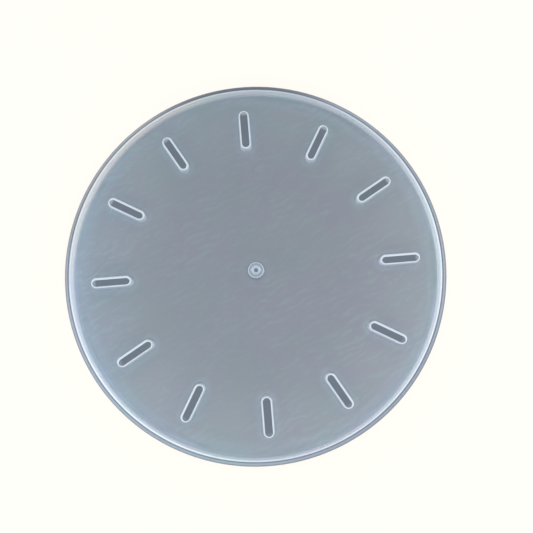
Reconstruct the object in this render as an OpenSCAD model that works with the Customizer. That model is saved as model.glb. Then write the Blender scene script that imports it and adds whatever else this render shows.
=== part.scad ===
// Round casting mould for a clock face: a shallow silicone tray with a raised rim, twelve raised
// hour bars and a centre post. Bars, post and rim all end at the same height, so the casting that
// is poured up to the crest has a slot for each bar and a shaft hole through its middle.
// Origin: centre of the underside. +Z points out of the open side, +Y points at twelve o'clock.

/* [Tray] */
// Diameter of the cavity, from wall to wall
cavity_d = 200; // [160:1:320]
// Depth of the cavity, from the floor to the crest of the rim
cavity_depth = 6; // [5:0.1:12]
// Thickness of the floor sheet
floor_t = 2.5; // [2:0.1:5]

/* [Rim] */
// Thickness of the rim wall at its base
wall_t = 3.6; // [3:0.1:6]
// Radius of the crest's inner edge
crest_edge_r = 0.8; // [0.3:0.1:1.2]
// Radius of the edge round the underside
base_edge_r = 0.5; // [0.2:0.1:0.8]
// Radius of the fillet at the foot of the rim's inner side
rim_foot_r = 1; // [0.4:0.1:1.5]

/* [Hour bars] */
// Length of a bar, over its round ends
bar_l = 21.8; // [12:0.1:24]
// Width of a bar
bar_w = 5.9; // [4:0.1:9]
// Distance of a bar's middle from the centre, as a part of the cavity's radius
bar_circle = 0.783; // [0.7:0.001:0.79]
// Radius of a bar's top edge
bar_edge_r = 0.9; // [0.3:0.1:1.2]

/* [Centre post] */
// Diameter of the post, which forms the hole for the shaft of a clock movement
post_d = 8.8; // [6:0.1:12]
// Radius of the post's top edge
post_edge_r = 0.5; // [0.2:0.1:0.8]
// Depth of the conical dimple in the post's top
dimple_depth = 1.2; // [0.6:0.1:2]
// Width of the dimple's mouth, as a part of the post's diameter
dimple_mouth = 0.67; // [0.4:0.01:0.7]
// Width of the dimple's flat bottom, as a part of the post's diameter
dimple_bottom = 0.26; // [0.1:0.01:0.3]

/* [Both bars and post] */
// Radius of the fillet where a bar or the post meets the floor
raised_foot_r = 0.6; // [0.3:0.1:1]

/* [Hidden] */
hours = 12;
hour_angle = 360 / hours;
cavity_r = cavity_d / 2;
rim_r = cavity_r + wall_t;
height = floor_t + cavity_depth;
// The outer shoulder is one round from the crest's inner edge to the outside of the wall.
shoulder_r = wall_t - crest_edge_r;
bar_mid_r = bar_circle * cavity_r;
bar_straight = bar_l - bar_w;
dimple_mouth_r = dimple_mouth * post_d / 2;
dimple_bottom_r = dimple_bottom * post_d / 2;
// How far a cutting shape stands clear of the face that it cuts
clear = 0.1;
// Colours of the translucent silicone: a thin sheet, a thick block, and an edge that gathers light
silicone = [0.56, 0.61, 0.67];
silicone_thick = [0.45, 0.50, 0.55];
silicone_edge = [0.68, 0.74, 0.80];
$fn = 96;

function bar_name(hour) = str("hour_bar_", hour < 10 ? "0" : "", hour);

// The corner outside a quarter circle: taken away it rounds an edge, added it makes a fillet.
module corner(r) {
    difference() {
        square(r);
        circle(r = r);
    }
}

// Half of the section of a bar or a post: upright side, rounded top edge and a fillet at the foot.
module raised_section(half_w, edge_r) {
    difference() {
        square([half_w, cavity_depth]);
        translate([half_w - edge_r, cavity_depth - edge_r]) corner(edge_r);
    }
    translate([half_w + raised_foot_r, raised_foot_r]) rotate(180) corner(raised_foot_r);
}

module floor_sheet() {
    color(silicone) cylinder(h = floor_t, r = cavity_r);
}

// Section of the rim: square wall, a small round inside the crest and a full round outside it.
module rim_section() {
    difference() {
        translate([cavity_r, 0]) square([wall_t, height]);
        translate([cavity_r + crest_edge_r, height - crest_edge_r]) mirror([1, 0]) corner(crest_edge_r);
        translate([rim_r - shoulder_r, height - shoulder_r]) corner(shoulder_r);
        translate([rim_r - base_edge_r, base_edge_r]) mirror([0, 1]) corner(base_edge_r);
    }
    translate([cavity_r - rim_foot_r, floor_t + rim_foot_r]) mirror([0, 1]) corner(rim_foot_r);
}

module rim_wall() {
    color(silicone_edge) rotate_extrude() rim_section();
}

// One half of a bar's section turned through half a circle: a round end.
module bar_end() {
    rotate_extrude(angle = 180) raised_section(bar_w / 2, bar_edge_r);
}

module bar_middle() {
    translate([0, bar_straight / 2, 0]) rotate([90, 0, 0]) linear_extrude(height = bar_straight) {
        raised_section(bar_w / 2, bar_edge_r);
        mirror([1, 0]) raised_section(bar_w / 2, bar_edge_r);
    }
}

module hour_bar(hour) {
    color(silicone_thick) rotate([0, 0, -hour * hour_angle]) translate([0, bar_mid_r, floor_t]) {
        bar_middle();
        translate([0, bar_straight / 2, 0]) bar_end();
        translate([0, -bar_straight / 2, 0]) rotate([0, 0, 180]) bar_end();
    }
}

module shaft_post() {
    color(silicone_thick) translate([0, 0, floor_t]) difference() {
        rotate_extrude() raised_section(post_d / 2, post_edge_r);
        translate([0, 0, cavity_depth - dimple_depth])
            cylinder(h = dimple_depth, r1 = dimple_bottom_r, r2 = dimple_mouth_r);
        translate([0, 0, cavity_depth]) cylinder(h = clear, r = dimple_mouth_r);
    }
}

floor_sheet();
rim_wall();
shaft_post();
for (hour = [1:hours]) hour_bar(hour);
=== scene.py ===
import math

import bmesh
import bpy
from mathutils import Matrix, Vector


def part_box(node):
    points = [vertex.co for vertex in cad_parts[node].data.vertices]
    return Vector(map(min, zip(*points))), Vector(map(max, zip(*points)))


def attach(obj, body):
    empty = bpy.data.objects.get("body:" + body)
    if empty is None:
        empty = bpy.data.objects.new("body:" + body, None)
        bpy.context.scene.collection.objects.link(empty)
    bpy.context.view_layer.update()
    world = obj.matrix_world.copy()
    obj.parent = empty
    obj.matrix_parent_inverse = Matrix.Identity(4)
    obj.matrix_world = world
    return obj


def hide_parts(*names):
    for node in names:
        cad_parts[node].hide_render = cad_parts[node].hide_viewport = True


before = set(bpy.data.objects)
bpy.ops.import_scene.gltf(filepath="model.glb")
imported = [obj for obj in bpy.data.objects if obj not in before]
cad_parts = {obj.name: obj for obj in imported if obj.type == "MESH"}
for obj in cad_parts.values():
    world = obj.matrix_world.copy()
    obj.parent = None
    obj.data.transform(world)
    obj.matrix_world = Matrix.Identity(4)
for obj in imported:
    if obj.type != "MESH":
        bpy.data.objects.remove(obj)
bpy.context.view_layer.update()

bl_info = {
    "name": "Clock Face Casting Mould",
    "version": (1, 0, 0),
    "blender": (4, 5, 0),
    "location": "View3D > Sidebar > Mould",
    "description": "Builds a round silicone mould for casting a clock face, piece by piece",
    "category": "Add Mesh",
}

MM = 0.001
HOURS = 12
SECTION = "section"  # the attribute that says where a point lies on its piece's section, from 0 to 1

# Where the rim is pressed in or out: the angle from +X in degrees, and the share of the full press
PRESSES = ((137, -1.0), (233, 0.9), (352, -0.5), (80, -0.5))
PRESS_START = 0.86  # radius where a press starts, as a share of the cavity's radius
PRESS_FULL = 0.98  # radius where a press has its full depth
PRESS_FOCUS = 1.25  # the higher, the shorter the pressed stretch of the rim

# How the soft moulding sways: the axis, the share of the full sway, and the size of its swells
SWAYS = (("X", 1.0, 0.11), ("Y", 1.0, 0.13), ("Z", 0.5, 0.05))

# Painted light and shade round the rim: brightness of the rim's wall, crest and shoulder and of the floor
# beside it, in equal steps from nine o'clock by way of six, three and twelve o'clock back to nine
RIM_PAINTED_LIGHT = (
    (1.38, 0.76, 0.72, 1.00),
    (1.38, 1.24, 1.12, 1.00),
    (0.88, 0.68, 0.92, 0.60),
    (1.18, 1.00, 0.86, 1.00),
    (1.05, 0.96, 0.76, 1.00),
    (0.74, 0.84, 0.88, 0.80),
    (0.98, 0.48, 1.00, 0.25),
    (0.78, 0.94, 0.92, 0.95),
    (1.38, 0.76, 0.72, 1.00),
)

# Section values of a raised bar or post: top of its foot fillet, of its upright side and of its round edge
FOOT_END = 0.15
SIDE_END = 0.45
EDGE_END = 0.70


def widest(node):
    """Radius of a round node on the axis, from the upper corner of its box."""
    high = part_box(node)[1]
    return max(high.x, high.y)


FLOOR_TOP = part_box("floor_sheet")[1].z
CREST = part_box("rim_wall")[1].z
BAR_LOW, BAR_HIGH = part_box("hour_bar_12")


# ---------------------------------------------------------------- settings


def length(name, description, default):
    return bpy.props.FloatProperty(
        name=name, description=description, default=default, unit="LENGTH", precision=5
    )


def colour(name, description, default):
    return bpy.props.FloatVectorProperty(
        name=name, description=description, default=default, subtype="COLOR", size=3, min=0, max=1
    )


def power(name, description, default):
    return bpy.props.FloatProperty(
        name=name, description=description, default=default, min=0, unit="POWER"
    )


class MouldSizes(bpy.types.PropertyGroup):
    """Sizes of the mould, which come from the frame, and the radii of its edges."""

    cavity_r: length("Cavity radius", "From the axis to the inner side of the rim", widest("floor_sheet"))
    rim_r: length("Rim radius", "From the axis to the outside of the rim", widest("rim_wall"))
    floor_top: length("Floor height", "Height of the floor's upper side", FLOOR_TOP)
    crest: length("Crest height", "Height of the rim, the bars and the post", CREST)
    crest_edge: length("Crest edge", "Radius of the crest's inner edge", 0.8 * MM)
    base_edge: length("Base edge", "Radius of the edge round the underside", 0.5 * MM)
    rim_foot: length("Rim foot", "Fillet where the rim's inner side meets the floor", 1.0 * MM)
    raised_foot: length("Raised foot", "Fillet where a bar or the post meets the floor", 0.6 * MM)
    bar_edge: length("Bar edge", "Radius of a bar's top edge", 0.9 * MM)
    post_edge: length("Post edge", "Radius of the post's top edge", 0.5 * MM)
    draft: length("Draft", "How much narrower a bar or the post is at its top", 0.1 * MM)
    dimple_mouth: length("Dimple mouth", "Radius of the dimple at the post's top", 2.95 * MM)
    dimple_bottom: length("Dimple bottom", "Radius of the dimple's flat bottom", 1.15 * MM)
    dimple_depth: length("Dimple depth", "Depth of the dimple", 1.2 * MM)
    sway: length("Sway", "How far the soft moulding strays from a true circle and a true plane", 0.3 * MM)
    press: length("Press", "How far the rim is pushed out of round at its worst", 0.4 * MM)


class MouldColours(bpy.types.PropertyGroup):
    """Colours of the translucent silicone, thin, thick and along its edges; many of them are painted light
    and shade.
    """

    thin: colour("Thin sheet", "The floor in the middle of the tray", (0.207, 0.242, 0.294))
    # Painted light: the floor grows paler towards the rim, where the wall gathers light.
    outer_floor_glow: colour("Outer floor", "The floor towards the rim", (0.247, 0.288, 0.339))
    gathered: colour("Gathered light", "Beside the rim, a bar or the post", (0.325, 0.410, 0.510))
    cool: colour("Cool patches", "Greenish drift in the silicone", (0.200, 0.250, 0.270))
    warm: colour("Warm patches", "Violet drift in the silicone", (0.222, 0.238, 0.290))
    milk: colour("Milk", "Streaks where the silicone was mixed", (0.215, 0.275, 0.290))
    # Painted shade: the bar tops are darker, standing in for the full height of silicone seen through them.
    thick: colour("Thick block", "Tops of the bars, seen through their full height", (0.120, 0.153, 0.198))
    # Painted light: a paler zone at the outer end of each bar's top.
    block_end_light: colour("Block end", "The far end of a bar, seen through its top", (0.285, 0.340, 0.385))
    edge: colour("Bright edge", "Rounded edges, which gather light", (0.580, 0.670, 0.745))
    # Painted highlight: the bright line along the crest's inner edge.
    crest: colour("Bright crest", "The crest's inner edge", (0.765, 0.850, 0.940))
    # Painted light: the rim's inner side is much paler than the same silicone elsewhere.
    inner_wall_light: colour("Inner wall", "The rim's inner side", (0.715, 0.797, 0.880))
    shoulder: colour("Shoulder", "The rim's rounded outside, seen from above", (0.310, 0.385, 0.465))
    # Painted shade: thin dark lines along the shoulder.
    seam: colour("Dark line", "The thin dark lines along the shoulder", (0.170, 0.230, 0.305))
    # Painted shade: the rim's upright outside is darkened.
    outer_wall_shade: colour("Outer wall", "The rim's upright outside", (0.200, 0.260, 0.330))
    # Painted shade: the rim's outside is darkest at twelve o'clock.
    far_edge_shade: colour("Far edge", "The rim's outside at twelve o'clock", (0.080, 0.100, 0.150))
    post_top: colour("Post top", "The flat ring round the dimple", (0.228, 0.288, 0.350))
    # Painted light: the pale dimple side and the pale foot fillets.
    dimple: colour("Dimple", "The sloping side of the dimple, and pale foot fillets", (0.440, 0.530, 0.625))
    # Painted shade at the bottom of the dimple.
    dimple_floor_shade: colour("Dimple floor", "The flat bottom of the dimple", (0.141, 0.196, 0.257))


class MouldStage(bpy.types.PropertyGroup):
    """Camera, lights and the surface that the mould lies on."""

    camera_place: bpy.props.FloatVectorProperty(
        name="Camera", description="Where the camera stands", default=(1.1 * MM, -38.5 * MM, 369.4 * MM),
        subtype="TRANSLATION", unit="LENGTH",
    )
    camera_turn: bpy.props.FloatVectorProperty(
        name="Camera turn", description="How the camera is turned from looking straight down",
        default=(math.radians(6.356), math.radians(-0.224), math.radians(-4.671)), subtype="EULER",
    )
    lens: bpy.props.FloatProperty(
        name="Lens", description="Focal length in millimetres on a 36 mm sensor", default=45.47,
        min=10, max=200,
    )
    table: colour("Table", "Colour of the surface below", (0.90, 0.855, 0.80))
    sky: bpy.props.FloatProperty(
        name="Sky", description="Brightness of the even light from all round", default=0.42,
        subtype="FACTOR", min=0, max=1,
    )
    top_light: power("Top light", "Power of the softbox overhead", 3.1)
    side_light: power("Side lights", "Power of each softbox at the side", 6.4)
    front_light: power("Front light", "Power of the softbox in front", 1.2)


# ---------------------------------------------------------------- modelling


def begin(name, half_width, corners=4):
    """Adds a flat face at the origin, named and in edit mode, with its section attribute ready."""
    bpy.ops.object.select_all(action="DESELECT")
    bpy.ops.mesh.primitive_circle_add(vertices=corners, radius=half_width, fill_type="NGON")
    piece = bpy.context.object
    piece.name = piece.data.name = name
    piece.data.attributes.new(SECTION, "FLOAT", "POINT")
    bpy.ops.object.mode_set(mode="EDIT")
    bpy.ops.mesh.select_mode(type="VERT")
    bpy.ops.mesh.select_all(action="SELECT")
    return piece


def mark(piece, value):
    """Gives the selected points their place on the section."""
    shape = bmesh.from_edit_mesh(piece.data)
    layer = shape.verts.layers.float[SECTION]
    for point in shape.verts:
        if point.select:
            point[layer] = value
    bmesh.update_edit_mesh(piece.data)


def pick(piece, test):
    """Selects the points whose place passes the test, and nothing else."""
    bpy.ops.mesh.select_all(action="DESELECT")
    shape = bmesh.from_edit_mesh(piece.data)
    for point in shape.verts:
        point.select = test(point.co)
    shape.select_flush_mode()
    bmesh.update_edit_mesh(piece.data)


def draw_to(piece, across, up, steps, value_from, value_to):
    """Extrudes the selected point along a straight line of the section, in equal steps."""
    for step in range(1, steps + 1):
        bpy.ops.mesh.extrude_vertices_move(TRANSFORM_OT_translate={"value": (across / steps, 0, up / steps)})
        mark(piece, value_from + (value_to - value_from) * step / steps)


def draw_arc(piece, radius, start, turn, steps, value_from, value_to):
    """Extrudes the selected point along an arc. Angles are in degrees, from +X towards +Z."""
    for step in range(1, steps + 1):
        before = math.radians(start + turn * (step - 1) / steps)
        after = math.radians(start + turn * step / steps)
        across = radius * (math.cos(after) - math.cos(before))
        up = radius * (math.sin(after) - math.sin(before))
        bpy.ops.mesh.extrude_vertices_move(TRANSFORM_OT_translate={"value": (across, 0, up)})
        mark(piece, value_from + (value_to - value_from) * step / steps)


def step_in(piece, inward, up, value):
    """Insets the selected face evenly and lifts it, which adds one ring to the section."""
    bpy.ops.mesh.inset(thickness=max(inward, 1e-7), depth=up, use_even_offset=True, use_boundary=True)
    mark(piece, value)


def finish_mesh(smooth_angle=50):
    """Merges doubles, turns faces outwards, shades the piece smooth and leaves edit mode."""
    bpy.ops.mesh.select_all(action="SELECT")
    bpy.ops.mesh.remove_doubles(threshold=1e-6)
    bpy.ops.mesh.normals_make_consistent(inside=False)
    bpy.ops.object.mode_set(mode="OBJECT")
    bpy.ops.object.shade_smooth_by_angle(angle=math.radians(smooth_angle))


def press_share(size, place, direction):
    """How much of a press in one direction reaches a point: all of it on the rim there, none far away."""
    angle = math.atan2(place.y, place.x) - direction
    turned = abs((angle + math.pi) % (2 * math.pi) - math.pi)
    along = max(0.0, math.cos(min(turned * PRESS_FOCUS, math.pi / 2)))
    inner, outer = PRESS_START * size.cavity_r, PRESS_FULL * size.cavity_r
    out = min(1.0, max(0.0, (math.hypot(place.x, place.y) - inner) / (outer - inner)))
    return along * along * out * out * (3 - 2 * out)


def press(piece, size, direction, amount):
    """Pushes the outer part of a piece in or out, as a soft rim that lay against something."""
    group = piece.vertex_groups.new(name="press")
    for point in piece.data.vertices:
        group.add([point.index], press_share(size, point.co, direction), "REPLACE")
    for axis, part in (("X", math.cos(direction)), ("Y", math.sin(direction))):
        field = piece.modifiers.new("press " + axis, "DISPLACE")
        field.direction = axis
        field.mid_level = 0.0
        field.strength = amount * part
        field.vertex_group = "press"
        bpy.ops.object.modifier_apply(modifier=field.name)
    piece.vertex_groups.clear()


def sway(piece, size):
    """Moves the piece by the fields that all pieces share: soft silicone never lies quite round or flat."""
    for direction, share_of_press in PRESSES:
        press(piece, size, math.radians(direction), size.press * share_of_press)
    lift = piece.vertex_groups.new(name="lift")
    for point in piece.data.vertices:
        lift.add([point.index], min(1.0, max(0.0, point.co.z / size.crest)), "REPLACE")
    for axis, amount, swell in SWAYS:
        texture = bpy.data.textures.get("sway " + axis)
        if texture is None:
            texture = bpy.data.textures.new("sway " + axis, "CLOUDS")
            texture.noise_scale = swell
            texture.noise_depth = 1
        field = piece.modifiers.new("sway " + axis, "DISPLACE")
        field.texture = texture
        field.texture_coords = "LOCAL"
        field.direction = axis
        field.mid_level = 0.5
        field.strength = size.sway * amount
        if axis == "Z":
            field.vertex_group = "lift"
        bpy.ops.object.modifier_apply(modifier=field.name)
    piece.vertex_groups.clear()


def settle(piece, node, material):
    """Dresses a finished piece and puts it in the frame in place of its CAD node."""
    piece.data.materials.clear()
    piece.data.materials.append(material)
    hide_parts(node)
    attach(piece, "root")


def trace_begin(name, across, up):
    """Starts a section as one point on the XZ plane."""
    piece = begin(name, 1 * MM)
    bpy.ops.mesh.merge(type="CENTER")
    bpy.ops.mesh.select_all(action="SELECT")
    bpy.ops.transform.translate(value=(across, 0, up))
    mark(piece, 0)
    return piece


def turn_round(steps):
    """Spins the whole section once round the axis."""
    bpy.ops.mesh.select_all(action="SELECT")
    bpy.ops.mesh.spin(steps=steps, angle=2 * math.pi, center=(0, 0, 0), axis=(0, 0, 1))


def make_floor(size):
    """The flat floor of the tray: a disc drawn as half a section and turned round."""
    piece = trace_begin("floor_skin", 0, 0)
    draw_to(piece, size.cavity_r, 0, 10, 0, 0)
    draw_to(piece, 0, size.floor_top, 1, 1, 1)
    draw_to(piece, -size.cavity_r, 0, 50, 1, 1)
    turn_round(192)
    finish_mesh()
    return piece


def make_rim(size):
    """The rim: its section drawn from the underside, up the outside, over the crest and down the inside.

    The section value is 0.10 where the upright outside starts, 0.30 where the round shoulder starts,
    0.56 on the crest, 0.68 where the inner side starts, 0.86 where its foot fillet starts and 1 at the
    floor.
    """
    wall = size.rim_r - size.cavity_r
    shoulder = wall - size.crest_edge
    inner_foot_z = size.floor_top + size.rim_foot
    piece = trace_begin("rim_skin", size.cavity_r, 0)
    draw_to(piece, wall - size.base_edge, 0, 3, 0, 0.04)
    draw_arc(piece, size.base_edge, -90, 90, 4, 0.04, 0.10)
    draw_to(piece, 0, size.crest - shoulder - size.base_edge, 8, 0.10, 0.30)
    draw_arc(piece, shoulder, 0, 90, 12, 0.30, 0.56)
    draw_arc(piece, size.crest_edge, 90, 90, 8, 0.56, 0.68)
    draw_to(piece, 0, inner_foot_z - (size.crest - size.crest_edge), 8, 0.68, 0.86)
    draw_arc(piece, size.rim_foot, 0, -90, 8, 0.86, 1.0)
    draw_to(piece, size.rim_foot, 0, 1, 1, 1)
    draw_to(piece, 0, -size.floor_top, 1, 0, 0)
    turn_round(288)
    finish_mesh()
    return piece


def raise_block(piece, size, edge):
    """Raises the selected outline to the crest: foot fillet, side with a little draft, rounded top edge."""
    quarter = math.pi / 2
    foot = size.raised_foot
    foot_steps, side_steps, edge_steps = 6, 5, 8
    for step in range(1, foot_steps + 1):
        before, after = quarter * (step - 1) / foot_steps, quarter * step / foot_steps
        inward = foot * (math.sin(after) - math.sin(before))
        upward = foot * (math.cos(before) - math.cos(after))
        step_in(piece, inward, upward, FOOT_END * step / foot_steps)
    side = size.crest - size.floor_top - foot - edge
    for step in range(1, side_steps + 1):
        value = FOOT_END + (SIDE_END - FOOT_END) * step / side_steps
        step_in(piece, size.draft / side_steps, side / side_steps, value)
    for step in range(1, edge_steps + 1):
        before, after = quarter * (step - 1) / edge_steps, quarter * step / edge_steps
        inward = edge * (math.cos(before) - math.cos(after))
        upward = edge * (math.sin(after) - math.sin(before))
        step_in(piece, inward, upward, SIDE_END + (EDGE_END - SIDE_END) * step / edge_steps)


def close_below():
    """Closes the open underside with one face."""
    bpy.ops.mesh.select_all(action="DESELECT")
    bpy.ops.mesh.select_non_manifold()
    bpy.ops.mesh.edge_face_add()


def make_bar(size):
    """One hour bar at twelve o'clock: a disc pulled apart to a round-ended outline, then raised."""
    half_width = BAR_HIGH.x
    straight = (BAR_HIGH.y - BAR_LOW.y) / 2 - half_width
    middle = (BAR_HIGH.y + BAR_LOW.y) / 2
    corners = 64
    piece = begin("bar_skin_12", half_width, corners)
    half_step = math.pi / corners  # turned by this, no corner lies on the line where the outline is parted
    bpy.ops.transform.rotate(value=half_step, orient_axis="Z", center_override=(0, 0, 0))
    pick(piece, lambda place: place.y > 0)
    bpy.ops.transform.translate(value=(0, straight, 0))
    pick(piece, lambda place: place.y < 0)
    bpy.ops.transform.translate(value=(0, -straight, 0))
    bpy.ops.mesh.select_all(action="SELECT")
    bpy.ops.transform.translate(value=(0, middle, size.floor_top))
    mark(piece, 0)
    raise_block(piece, size, size.bar_edge)
    top_half = half_width - size.raised_foot - size.draft - size.bar_edge
    top_rings = ((0.10, 0.74), (0.15, 0.80), (0.20, 0.87), (0.25, 0.94))  # share of the top, section value
    for inward, value in top_rings:
        step_in(piece, inward * top_half, 0, value)
    close_below()
    finish_mesh()
    return piece


def copy_bar(first, hour):
    """A copy of the bar with a mesh of its own, turned to its hour."""
    bpy.ops.object.select_all(action="DESELECT")
    first.select_set(True)
    bpy.context.view_layer.objects.active = first
    bpy.ops.object.duplicate(linked=False)
    piece = bpy.context.object
    piece.name = piece.data.name = f"bar_skin_{hour:02d}"
    piece.rotation_euler = (0, 0, -hour * 2 * math.pi / HOURS)
    bpy.ops.object.transform_apply(location=False, rotation=True, scale=False)
    return piece


def make_post(size):
    """The centre post: a disc raised like a bar, with a conical dimple let into its top."""
    foot_r = widest("shaft_post")
    piece = begin("post_skin", foot_r, 96)
    bpy.ops.transform.translate(value=(0, 0, size.floor_top))
    mark(piece, 0)
    raise_block(piece, size, size.post_edge)
    top_r = foot_r - size.raised_foot - size.draft - size.post_edge
    land = top_r - size.dimple_mouth
    lip = 0.03 * MM  # how far the flat ring drops where the dimple starts
    step_in(piece, land * 0.3, 0, 0.74)
    step_in(piece, land * 0.55, 0, 0.78)
    step_in(piece, land * 0.15, -lip, 0.82)
    slope = size.dimple_mouth - size.dimple_bottom
    slope_steps = 4
    for step in range(slope_steps):
        value = 0.84 + 0.1 * step / (slope_steps - 1)
        step_in(piece, slope / slope_steps, -(size.dimple_depth - lip) / slope_steps, value)
    step_in(piece, size.dimple_bottom * 0.25, 0, 0.97)
    step_in(piece, size.dimple_bottom * 0.4, 0, 1)
    close_below()
    finish_mesh(smooth_angle=40)
    return piece


def make_sweep():
    """The surface that the mould lies on, which curves up into a round backdrop."""
    table_r, curve_r, wall_height = 2.4, 0.6, 1.9
    gap = 0.05 * MM  # how far it stays below the mould's underside
    sweep = trace_begin("sweep", 0, -gap)
    draw_to(sweep, table_r, 0, 4, 0, 0)
    draw_arc(sweep, curve_r, -90, 90, 12, 0, 0)
    draw_to(sweep, 0, wall_height, 2, 0, 0)
    turn_round(96)
    finish_mesh()
    bpy.ops.object.mode_set(mode="EDIT")
    bpy.ops.mesh.flip_normals()
    bpy.ops.object.mode_set(mode="OBJECT")
    return sweep


# ---------------------------------------------------------------- materials


class Nodes:
    """Builds the nodes of one material or group, with links made from the values given."""

    def __init__(self, tree):
        self.tree = tree

    def add(self, kind, inputs=None, **settings):
        node = self.tree.nodes.new(kind)
        for name, value in settings.items():
            setattr(node, name, value)
        for name, value in (inputs or {}).items():
            self.put(node.inputs[name], value)
        return node

    def put(self, socket, value):
        if isinstance(value, bpy.types.NodeSocket):
            self.tree.links.new(value, socket)
        elif isinstance(value, (tuple, list)) and socket.type == "RGBA" and len(value) == 3:
            socket.default_value = (*value, 1)
        else:
            socket.default_value = value

    def math(self, operation, first, second=0.0, clamp=False):
        node = self.add("ShaderNodeMath", {0: first, 1: second}, operation=operation, use_clamp=clamp)
        return node.outputs[0]

    def product(self, *factors):
        """Multiplies numbers that change over the surface."""
        result = factors[0]
        for factor in factors[1:]:
            result = self.math("MULTIPLY", result, factor)
        return result

    def rise(self, value, low, high, start=0.0, end=1.0, curve="SMOOTHSTEP"):
        """Goes from start to end, smoothly unless told otherwise, as the value goes from low to high."""
        inputs = {"Value": value, "From Min": low, "From Max": high, "To Min": start, "To Max": end}
        return self.add("ShaderNodeMapRange", inputs, interpolation_type=curve).outputs["Result"]

    def mix(self, factor, first, second, blend="MIX"):
        node = self.add("ShaderNodeMix", data_type="RGBA", blend_type=blend, clamp_factor=True)
        self.put(node.inputs["Factor"], factor)
        self.put(node.inputs[6], first)
        self.put(node.inputs[7], second)
        return node.outputs[2]

    def noise(self, vector, scale, detail=2.0, roughness=0.5, distortion=0.0):
        inputs = {
            "Vector": vector,
            "Scale": scale,
            "Detail": detail,
            "Roughness": roughness,
            "Distortion": distortion,
        }
        return self.add("ShaderNodeTexNoise", inputs).outputs["Fac"]

    def ramp(self, factor, stops):
        """A colour ramp from (place, colour) pairs."""
        node = self.add("ShaderNodeValToRGB", {"Fac": factor})
        ramp = node.color_ramp
        while len(ramp.elements) < len(stops):
            ramp.elements.new(0.5)
        for element, (place, shade) in zip(ramp.elements, stops):
            element.position = place
            element.color = (*shade, 1)
        return node.outputs["Color"]

    def place(self):
        return self.add("ShaderNodeTexCoord").outputs["Object"]

    def parts(self, vector):
        return self.add("ShaderNodeSeparateXYZ", {0: vector}).outputs

    def section(self):
        """Place on the section, from the attribute that the modelling left."""
        return self.add("ShaderNodeAttribute", attribute_name=SECTION).outputs["Fac"]

    def tint(self, shade, cast):
        """Multiplies a colour by another, part by part."""
        return self.mix(1.0, shade, cast, "MULTIPLY")

    def scaled(self, shade, amount):
        """Makes a colour brighter or darker by one number."""
        inputs = {"Vector": shade, "Scale": amount}
        return self.add("ShaderNodeVectorMath", inputs, operation="SCALE").outputs[0]

    def shared(self, group):
        """Places a shared node group."""
        return self.add("ShaderNodeGroup", None, node_tree=group)

    def radius(self, place):
        flat = self.add("ShaderNodeVectorMath", {0: place, 1: (1, 1, 0)}, operation="MULTIPLY")
        return self.add("ShaderNodeVectorMath", {0: flat.outputs[0]}, operation="LENGTH").outputs["Value"]


def new_group(name, inputs, outputs):
    """A shader node group with its sockets, and the helper that fills it."""
    tree = bpy.data.node_groups.new(name, "ShaderNodeTree")
    for label, kind, default in inputs:
        socket = tree.interface.new_socket(label, in_out="INPUT", socket_type=kind)
        socket.default_value = default
    for label, kind in outputs:
        tree.interface.new_socket(label, in_out="OUTPUT", socket_type=kind)
    nodes = Nodes(tree)
    return nodes, nodes.add("NodeGroupInput").outputs, nodes.add("NodeGroupOutput").inputs


def painted_light_across_disc(nodes, place, shade):
    """Painted light and shade across the disc: paler towards six o'clock and the sides, bluer towards nine
    o'clock, cooler towards twelve.
    """
    parts = nodes.parts(place)
    down = nodes.math("MULTIPLY", parts["Y"], -0.85)
    sideways = nodes.product(parts["X"], parts["X"], 6.0)
    brightness = nodes.math("ADD", nodes.math("ADD", down, sideways), 1.0)
    left_to_right = nodes.rise(parts["X"], -0.1, 0.1)
    left, middle, right = (0.955, 1.0, 1.03), (1.0, 1.0, 1.0), (1.03, 1.0, 0.99)
    cast = nodes.ramp(left_to_right, [(0.0, left), (0.10, middle), (1.0, right)])
    tinted = nodes.tint(shade, cast)
    upward = nodes.rise(parts["Y"], 0.02, 0.1)
    tinted = nodes.mix(upward, tinted, nodes.tint(tinted, (0.95, 0.99, 1.0)))
    return nodes.scaled(tinted, brightness)


def mixing_streaks(nodes, place):
    """Wavy slanting streaks where the silicone was stirred, broken up and gathered in clouds."""
    slant, stretch = 0.42, 3.0
    turn = {"Vector": place, "Rotation": (0, 0, slant)}
    turned = nodes.add("ShaderNodeMapping", turn, vector_type="TEXTURE").outputs[0]
    draw_out = {**turn, "Scale": (stretch, 1, 1)}
    along = nodes.add("ShaderNodeMapping", draw_out, vector_type="TEXTURE").outputs[0]
    broken = nodes.rise(nodes.noise(along, 260, 3, 0.6, 1.2), 0.38, 0.62)
    bands = {"Vector": turned, "Scale": 80, "Distortion": 9, "Detail": 2, "Detail Scale": 1.3}
    wave = nodes.add("ShaderNodeTexWave", bands, bands_direction="Y").outputs["Fac"]
    cloud = nodes.rise(nodes.noise(place, 26, 2, 0.5), 0.3, 0.7, 0.25, 1.0)
    return nodes.product(broken, nodes.rise(wave, 0.2, 0.9, 0.25, 1.0), cloud)


def dust_specks(nodes, place):
    """A few round specks: in most cells of the pattern the speck is too small to exist."""
    cells = nodes.add("ShaderNodeTexVoronoi", {"Vector": place, "Scale": 260, "Randomness": 1.0})
    chance = nodes.add("ShaderNodeSeparateColor", {0: cells.outputs["Color"]}).outputs[0]
    speck_r = nodes.math("SUBTRACT", nodes.math("MULTIPLY", chance, 0.16), 0.105)
    return nodes.math("LESS_THAN", cells.outputs["Distance"], speck_r)


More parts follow.
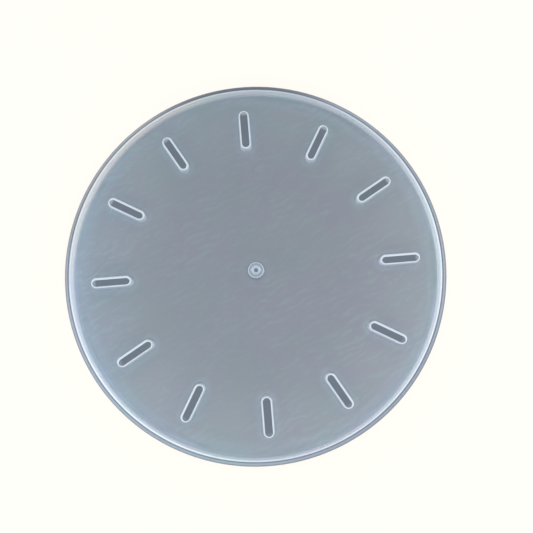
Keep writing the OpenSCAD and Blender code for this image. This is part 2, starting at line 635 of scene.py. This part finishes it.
def silicone_group(colours):
    """Milky silicone: painted light and shade across the disc, drifting tint, streaks, dust, smudges and the
    faint relief of a moulded skin.
    """
    nodes, given, made = new_group(
        "Milky Silicone",
        [
            ("Color", "NodeSocketColor", (0.2, 0.25, 0.3, 1)),
            ("Painted Light", "NodeSocketFloat", 1.0),
            ("Drift", "NodeSocketFloat", 0.4),
            ("Streaks", "NodeSocketFloat", 0.1),
            ("Dust", "NodeSocketFloat", 0.3),
            ("Roughness", "NodeSocketFloat", 0.35),
        ],
        [("Color", "NodeSocketColor"), ("Roughness", "NodeSocketFloat"), ("Height", "NodeSocketFloat")],
    )
    place = nodes.place()
    # Painted light and shade across the disc, mixed in by this share.
    light_painted = nodes.mix(given["Painted Light"], given["Color"], painted_light_across_disc(nodes, place, given["Color"]))

    middle = tuple((a + b) / 2 for a, b in zip(colours.cool, colours.warm))
    patches = nodes.rise(nodes.noise(place, 24, 3, 0.6), 0.31, 0.61)
    drift = nodes.mix(patches, tuple(colours.cool), tuple(colours.warm))
    drift_share = nodes.mix(1.0, drift, middle, "DIVIDE")
    drifted = nodes.mix(given["Drift"], light_painted, nodes.tint(light_painted, drift_share))

    milk = nodes.product(mixing_streaks(nodes, place), given["Streaks"])
    milk_share = nodes.mix(1.0, tuple(colours.milk), middle, "DIVIDE")
    milky = nodes.mix(milk, drifted, nodes.tint(drifted, milk_share))

    speck = dust_specks(nodes, place)
    dust = (0.80, 0.83, 0.86)
    nodes.put(made["Color"], nodes.mix(nodes.product(speck, given["Dust"]), milky, dust))

    smudge = nodes.math("SUBTRACT", nodes.noise(place, 40, 3, 0.6), 0.5)
    rough = nodes.math("ADD", given["Roughness"], nodes.product(smudge, 0.22))
    nodes.put(made["Roughness"], nodes.math("ADD", rough, nodes.product(speck, 0.2), clamp=True))

    skin = nodes.noise(place, 900, 2, 0.5)
    swell = nodes.noise(place, 60, 2, 0.5)
    relief = nodes.math("ADD", nodes.product(skin, 0.12), swell)
    nodes.put(made["Height"], nodes.math("ADD", relief, nodes.product(speck, 0.15)))
    return nodes.tree


def bar_place_group(size):
    """Where a point lies at its nearest bar.

    Beside is its distance from the bar's side. Along is how far out it lies in the bar's direction. Far Side
    is how far it lies towards twelve o'clock from the bar's middle line, 1 at the side of a level bar.
    """
    nodes, _, made = new_group(
        "Bar Place", [], [(label, "NodeSocketFloat") for label in ("Beside", "Along", "Far Side")]
    )
    place = nodes.place()
    parts = nodes.parts(place)
    radius = nodes.radius(place)
    angle = nodes.math("ARCTAN2", parts["X"], parts["Y"])
    folded = nodes.math("PINGPONG", angle, math.pi / HOURS)
    along = nodes.product(radius, nodes.math("COSINE", folded))
    across = nodes.product(radius, nodes.math("SINE", folded))
    half_width = BAR_HIGH.x - size.raised_foot
    inner_end = BAR_LOW.y + BAR_HIGH.x
    outer_end = BAR_HIGH.y - BAR_HIGH.x
    nearest = nodes.math("MINIMUM", nodes.math("MAXIMUM", along, inner_end), outer_end)
    past_end = nodes.math("SUBTRACT", along, nearest)
    square = nodes.math("ADD", nodes.product(past_end, past_end), nodes.product(across, across))
    nodes.put(made["Beside"], nodes.math("SUBTRACT", nodes.math("SQRT", square), half_width))
    nodes.put(made["Along"], along)
    hour_turn = nodes.math("SNAP", nodes.math("ADD", angle, math.pi / HOURS), 2 * math.pi / HOURS)
    before_hour = nodes.math("SINE", nodes.math("SUBTRACT", hour_turn, angle))
    sideways = nodes.math("DIVIDE", nodes.product(radius, before_hour), half_width)
    upward = nodes.product(sideways, nodes.math("SINE", hour_turn))
    nodes.put(made["Far Side"], nodes.math("MAXIMUM", upward, 0.0, clamp=True))
    return nodes.tree


def painted_rim_light_group():
    """Painted light and shade: how the brightness of the rim, and of the floor beside it, changes round the
    circle.
    """
    nodes, _, made = new_group(
        "Painted Rim Light",
        [],
        [(label, "NodeSocketFloat") for label in ("Wall", "Crest", "Shoulder", "Floor")],
    )
    parts = nodes.parts(nodes.place())
    turn = nodes.math("DIVIDE", nodes.math("ARCTAN2", parts["Y"], parts["X"]), 2 * math.pi)
    ramp = nodes.add("ShaderNodeValToRGB", {"Fac": nodes.math("ADD", turn, 0.5)})
    ramp.color_ramp.interpolation = "B_SPLINE"
    while len(ramp.color_ramp.elements) < len(RIM_PAINTED_LIGHT):
        ramp.color_ramp.elements.new(0.5)
    for step, (element, shares) in enumerate(zip(ramp.color_ramp.elements, RIM_PAINTED_LIGHT)):
        element.position = step / (len(RIM_PAINTED_LIGHT) - 1)
        element.color = shares
    split = nodes.add("ShaderNodeSeparateColor", {0: ramp.outputs["Color"]})
    nodes.put(made["Wall"], split.outputs[0])
    nodes.put(made["Crest"], split.outputs[1])
    nodes.put(made["Shoulder"], split.outputs[2])
    nodes.put(made["Floor"], ramp.outputs["Alpha"])
    return nodes.tree


def shared_silicone_group(colours):
    return bpy.data.node_groups.get("Milky Silicone") or silicone_group(colours)


def shared_bar_group(size):
    return bpy.data.node_groups.get("Bar Place") or bar_place_group(size)


def shared_painted_rim_light_group():
    return bpy.data.node_groups.get("Painted Rim Light") or painted_rim_light_group()


def new_material(name):
    material = bpy.data.materials.new(name)
    material.use_nodes = True
    material.node_tree.nodes.clear()
    return material, Nodes(material.node_tree)


def dress(nodes, group, shade, painted_light_share, drift, streaks, dust, roughness, softness):
    """Puts the shared silicone group, with its share of painted light and shade, on a colour and feeds the
    shader.
    """
    inputs = {
        "Color": shade,
        "Painted Light": painted_light_share,
        "Drift": drift,
        "Streaks": streaks,
        "Dust": dust,
        "Roughness": roughness,
    }
    skin = nodes.shared(group)
    for name, value in inputs.items():
        nodes.put(skin.inputs[name], value)
    bump = nodes.add(
        "ShaderNodeBump", {"Height": skin.outputs["Height"], "Strength": 0.25, "Distance": 0.4 * MM}
    )
    shader = nodes.add(
        "ShaderNodeBsdfPrincipled",
        {
            "Base Color": skin.outputs["Color"],
            "Roughness": skin.outputs["Roughness"],
            "Normal": bump.outputs["Normal"],
            "IOR": 1.41,
            "Subsurface Weight": softness,
            "Subsurface Radius": (1.0, 1.0, 1.0),
            "Subsurface Scale": 1.2 * MM,
        },
    )
    output = nodes.add("ShaderNodeOutputMaterial")
    nodes.put(output.inputs["Surface"], shader.outputs["BSDF"])


def section_ramp(nodes, stops, shift=0.0):
    """Colour by place on the section."""
    section = nodes.math("ADD", nodes.section(), shift)
    return nodes.ramp(section, [(place, tuple(shade)) for place, shade in stops])


def floor_material(size, colours, group):
    """The floor: blue-grey in the middle, with painted light towards the rim and beside everything that
    stands on it.
    """
    material, nodes = new_material("floor silicone")
    cavity_r = size.cavity_r
    place = nodes.place()
    radius = nodes.radius(place)
    outward = nodes.rise(radius, 0.45 * cavity_r, 0.97 * cavity_r)
    shade = nodes.mix(outward, tuple(colours.thin), tuple(colours.outer_floor_glow))

    # Painted light: a pale glow on the floor beside the rim, the bars and the post.
    rim_light_share = nodes.shared(shared_painted_rim_light_group()).outputs["Floor"]
    close_to_rim = nodes.rise(radius, cavity_r - 4 * MM, cavity_r - 0.5 * MM)
    at_rim = nodes.product(close_to_rim, close_to_rim, rim_light_share)
    glow = nodes.rise(radius, cavity_r - 11 * MM, cavity_r - 4 * MM, 0.0, 0.24)
    beside = nodes.shared(shared_bar_group(size)).outputs["Beside"]
    at_bar = nodes.rise(beside, 4.5 * MM, 0.2 * MM, 0.0, 0.27)
    at_post = nodes.rise(radius, 12 * MM, 4.5 * MM, 0.0, 0.13)
    near = nodes.math("MAXIMUM", at_rim, glow)
    near = nodes.math("MAXIMUM", near, nodes.math("MAXIMUM", at_bar, at_post))
    shade = nodes.mix(near, shade, tuple(colours.gathered))

    outermost = nodes.rise(radius, 0.84 * cavity_r, cavity_r)
    arcs = nodes.product(rim_arcs(nodes, place, radius), outermost, 0.45)
    shade = nodes.mix(arcs, shade, tuple(colours.milk))
    dress(
        nodes, group, shade,
        painted_light_share=1.0, drift=0.45, streaks=1.15, dust=0.25, roughness=0.36, softness=0.3,
    )
    return material


def rim_arcs(nodes, place, radius):
    """Faint arcs that follow the rim: noise that is stretched round the axis."""
    flat = nodes.add("ShaderNodeVectorMath", {0: place, 1: (1, 1, 0)}, operation="MULTIPLY").outputs[0]
    around = nodes.add("ShaderNodeVectorMath", {0: flat}, operation="NORMALIZE").outputs[0]
    parts = nodes.parts(around)
    ring_r = 12 * MM  # the full circle is read as one of this radius, which draws the noise out into arcs
    east = nodes.math("MULTIPLY", parts["X"], ring_r)
    north = nodes.math("MULTIPLY", parts["Y"], ring_r)
    ring_place = nodes.add("ShaderNodeCombineXYZ", {"X": east, "Y": north, "Z": radius}).outputs[0]
    return nodes.rise(nodes.noise(ring_place, 380, 2, 0.5), 0.42, 0.68)


def rim_painted_light(nodes, section):
    """Painted light and shade along the rim's section: shoulder, crest, wall and foot each grow lighter or
    darker round the circle.
    """
    shares = nodes.shared(shared_painted_rim_light_group()).outputs
    outer = nodes.rise(section, 0.555, 0.58, shares["Shoulder"], shares["Crest"], curve="LINEAR")
    amount = nodes.rise(section, 0.65, 0.70, outer, shares["Wall"], curve="LINEAR")
    # Painted shade on the foot where the floor beside it is darker.
    foot_painted_shade = nodes.math("MULTIPLY", nodes.math("SUBTRACT", 1.0, shares["Floor"]), 0.3)
    at_foot = nodes.rise(section, 0.80, 0.92)
    kept = nodes.math("SUBTRACT", 1.0, nodes.product(at_foot, foot_painted_shade))
    return nodes.product(amount, kept)


def rim_material(size, colours, group):
    """The rim: steel-blue shoulder between two painted dark lines, a painted highlight on the crest edge and
    painted light on the inner side.
    """
    material, nodes = new_material("rim silicone")
    parts = nodes.parts(nodes.place())
    # The painted light and shade bands lie further out at nine o'clock than at three.
    lean = 0.006  # half of how much further out on the section the bands lie at nine o'clock than at three
    shift = nodes.math("ADD", nodes.math("MULTIPLY", parts["X"], -lean / size.rim_r), lean)
    # Bands on one silicone: painted shade outside and in two dark lines, a painted highlight on the crest,
    # painted light on the inner side and foot.
    stops = [
        (0.00, colours.outer_wall_shade),
        (0.28, colours.outer_wall_shade),
        (0.34, colours.seam),
        (0.43, colours.seam),
        (0.46, colours.shoulder),
        (0.515, colours.shoulder),
        (0.535, colours.seam),
        (0.555, colours.seam),
        (0.585, colours.crest),
        (0.635, colours.crest),
        (0.70, colours.inner_wall_light),
        (0.84, colours.inner_wall_light),
        (0.94, colours.dimple),
        (1.00, colours.gathered),
    ]
    shade = section_ramp(nodes, stops, shift)

    # Painted shade: the rim's outside darkened towards twelve o'clock.
    outside = section_ramp(nodes, [(0.53, (1, 1, 1)), (0.555, (0, 0, 0))])
    far = nodes.rise(parts["Y"], 0.84 * size.cavity_r, 1.02 * size.cavity_r)
    shade = nodes.mix(nodes.product(outside, far, 0.8), shade, tuple(colours.far_edge_shade))

    upper_left = nodes.math("SUBTRACT", parts["Y"], parts["X"])
    corner = nodes.rise(upper_left, 0.95 * size.rim_r, 1.35 * size.rim_r)
    shade = nodes.mix(corner, shade, nodes.tint(shade, (1.05, 0.99, 0.91)))

    shade = nodes.scaled(shade, rim_painted_light(nodes, nodes.section()))
    dress(
        nodes, group, shade,
        painted_light_share=0.25, drift=0.5, streaks=0.15, dust=0.2, roughness=0.30, softness=0.4,
    )
    return material


def bar_material(size, colours, group):
    """A bar: painted light on its pale sides, a painted highlight on its rounded edge and painted shade on
    its dark top.

    The top has painted light at its outer end, and the painted highlight is wider on a side that faces
    twelve o'clock.
    """
    material, nodes = new_material("bar silicone")
    bar_place = nodes.shared(shared_bar_group(size)).outputs
    # Painted highlight: the bright edge is widened on the side towards twelve o'clock.
    shift = nodes.math("MULTIPLY", bar_place["Far Side"], -0.26)
    outline = [
        (0.00, colours.outer_floor_glow),
        (0.08, colours.gathered),
        (0.16, colours.dimple),
        (0.28, colours.dimple),
        (0.42, colours.edge),
        (0.65, colours.edge),
    ]
    middle = section_ramp(nodes, [*outline, (0.70, colours.thick), (1.00, colours.thick)], shift)
    outer = section_ramp(nodes, [*outline, (0.71, colours.block_end_light), (1.00, colours.block_end_light)], shift)
    # Painted light at the outer end of the top, stronger towards twelve o'clock.
    outer_end = nodes.rise(bar_place["Along"], BAR_HIGH.y - 4.0 * MM, BAR_HIGH.y - 2.4 * MM)
    height = nodes.parts(nodes.place())["Y"]
    upper = nodes.rise(height, -0.7 * size.cavity_r, 0.5 * size.cavity_r, 0.25, 1.0)
    shade = nodes.mix(nodes.product(outer_end, upper), middle, outer)
    dress(
        nodes, group, shade,
        painted_light_share=0.4, drift=0.3, streaks=0.2, dust=0.1, roughness=0.30, softness=0.3,
    )
    return material


def post_material(colours, group):
    """The post: painted highlight on the rounded edge, a grey top, painted light on the dimple's side and
    painted shade at its bottom.
    """
    material, nodes = new_material("post silicone")
    stops = [
        (0.00, colours.thin),
        (0.20, colours.outer_floor_glow),
        (0.42, colours.gathered),
        (0.56, colours.dimple),
        (0.68, colours.dimple),
        (0.73, colours.post_top),
        (0.80, colours.post_top),
        (0.84, colours.gathered),
        (0.88, colours.dimple),
        (0.925, colours.dimple),
        (0.955, colours.dimple_floor_shade),
        (1.00, colours.dimple_floor_shade),
    ]
    dress(
        nodes, group, section_ramp(nodes, stops),
        painted_light_share=0.4, drift=0.3, streaks=0.2, dust=0.1, roughness=0.30, softness=0.3,
    )
    return material


def table_material(colours):
    """A pale surface that glows a little, like a sheet lit from below, so that shadows on it stay faint."""
    material, nodes = new_material("pale table")
    grain = nodes.math("MULTIPLY", nodes.noise(nodes.place(), 6, 3, 0.5), 0.03)
    shade = nodes.mix(grain, tuple(colours), (0.86, 0.85, 0.82))
    shader = nodes.add(
        "ShaderNodeBsdfPrincipled",
        {
            "Base Color": nodes.tint(shade, (0.28, 0.28, 0.28)),
            "Roughness": 0.8,
            "Specular IOR Level": 0.2,
            "Emission Color": shade,
            "Emission Strength": 0.85,
        },
    )
    output = nodes.add("ShaderNodeOutputMaterial")
    nodes.put(output.inputs["Surface"], shader.outputs["BSDF"])
    return material


# ---------------------------------------------------------------- operators


class MOULD_OT_floor(bpy.types.Operator):
    """Add the flat floor of the tray"""

    bl_idname = "mould.floor"
    bl_label = "Floor"

    def execute(self, context):
        size, colours = context.scene.mould_sizes, context.scene.mould_colours
        piece = make_floor(size)
        sway(piece, size)
        material = floor_material(size, colours, shared_silicone_group(colours))
        settle(piece, "floor_sheet", material)
        return {"FINISHED"}


class MOULD_OT_rim(bpy.types.Operator):
    """Add the rim with its rounded crest"""

    bl_idname = "mould.rim"
    bl_label = "Rim"

    def execute(self, context):
        size, colours = context.scene.mould_sizes, context.scene.mould_colours
        piece = make_rim(size)
        sway(piece, size)
        material = rim_material(size, colours, shared_silicone_group(colours))
        settle(piece, "rim_wall", material)
        return {"FINISHED"}


class MOULD_OT_hour_bars(bpy.types.Operator):
    """Add the twelve raised bars"""

    bl_idname = "mould.hour_bars"
    bl_label = "Hour bars"

    def execute(self, context):
        size, colours = context.scene.mould_sizes, context.scene.mould_colours
        material = bar_material(size, colours, shared_silicone_group(colours))
        first = make_bar(size)
        bars = {HOURS: first}
        for hour in range(1, HOURS):
            bars[hour] = copy_bar(first, hour)
        for hour, piece in bars.items():
            bpy.ops.object.select_all(action="DESELECT")
            piece.select_set(True)
            context.view_layer.objects.active = piece
            sway(piece, size)
            settle(piece, f"hour_bar_{hour:02d}", material)
        return {"FINISHED"}


class MOULD_OT_shaft_post(bpy.types.Operator):
    """Add the centre post with its dimple"""

    bl_idname = "mould.shaft_post"
    bl_label = "Shaft post"

    def execute(self, context):
        size, colours = context.scene.mould_sizes, context.scene.mould_colours
        piece = make_post(size)
        sway(piece, size)
        material = post_material(colours, shared_silicone_group(colours))
        settle(piece, "shaft_post", material)
        return {"FINISHED"}


class MOULD_OT_stage(bpy.types.Operator):
    """Add the table, the lights and the camera"""

    bl_idname = "mould.stage"
    bl_label = "Stage"

    def execute(self, context):
        stage = context.scene.mould_stage
        sweep = make_sweep()
        sweep.data.materials.append(table_material(stage.table))
        world = bpy.data.worlds.new("even light")
        world.use_nodes = True
        background = world.node_tree.nodes["Background"].inputs
        background["Color"].default_value = (1, 1, 1, 1)
        background["Strength"].default_value = stage.sky
        context.scene.world = world
        away, low = 1.1, 0.62  # how far out and how high the three lower softboxes stand
        small, large = 0.7, 1.2  # widths of the softboxes
        self.softbox("top light", (0, 0, 1.2), large, stage.top_light, True)
        self.softbox("left light", (-away, 0, low), small, stage.side_light, False)
        self.softbox("right light", (away, 0, low), small, stage.side_light, False)
        self.softbox("front light", (0, -away, low), small, stage.front_light, False)
        bpy.ops.object.camera_add(location=stage.camera_place, rotation=stage.camera_turn)
        camera = context.object
        camera.name = "camera"
        camera.data.lens = stage.lens
        camera.data.sensor_width = 36
        camera.data.clip_start = 0.01
        context.scene.camera = camera
        context.scene.view_settings.view_transform = "Standard"
        return {"FINISHED"}

    @staticmethod
    def softbox(name, place, width, watts, shadow):
        bpy.ops.object.light_add(type="AREA", location=place)
        light = bpy.context.object
        light.name = name
        light.rotation_euler = Vector(place).to_track_quat("Z", "Y").to_euler()
        light.data.size = width
        light.data.energy = watts
        light.data.use_shadow = shadow
        light.visible_camera = False


class MOULD_PT_panel(bpy.types.Panel):
    """Lists the mould's pieces and settings in the sidebar"""

    bl_idname = "MOULD_PT_panel"
    bl_label = "Casting Mould"
    bl_space_type = "VIEW_3D"
    bl_region_type = "UI"
    bl_category = "Mould"

    def draw(self, context):
        column = self.layout.column(align=True)
        for operator in OPERATORS:
            column.operator(operator.bl_idname)
        for group in (context.scene.mould_sizes, context.scene.mould_colours, context.scene.mould_stage):
            box = self.layout.box()
            for name in group.__annotations__:
                box.prop(group, name)


OPERATORS = (MOULD_OT_stage, MOULD_OT_floor, MOULD_OT_rim, MOULD_OT_hour_bars, MOULD_OT_shaft_post)
CLASSES = (MouldSizes, MouldColours, MouldStage, *OPERATORS, MOULD_PT_panel)


def register():
    for cls in CLASSES:
        bpy.utils.register_class(cls)
    bpy.types.Scene.mould_sizes = bpy.props.PointerProperty(type=MouldSizes)
    bpy.types.Scene.mould_colours = bpy.props.PointerProperty(type=MouldColours)
    bpy.types.Scene.mould_stage = bpy.props.PointerProperty(type=MouldStage)


def unregister():
    del bpy.types.Scene.mould_stage
    del bpy.types.Scene.mould_colours
    del bpy.types.Scene.mould_sizes
    for cls in reversed(CLASSES):
        bpy.utils.unregister_class(cls)


def main():
    register()
    bpy.ops.mould.stage()
    bpy.ops.mould.floor()
    bpy.ops.mould.rim()
    bpy.ops.mould.hour_bars()
    bpy.ops.mould.shaft_post()


if __name__ == "__main__":
    main()
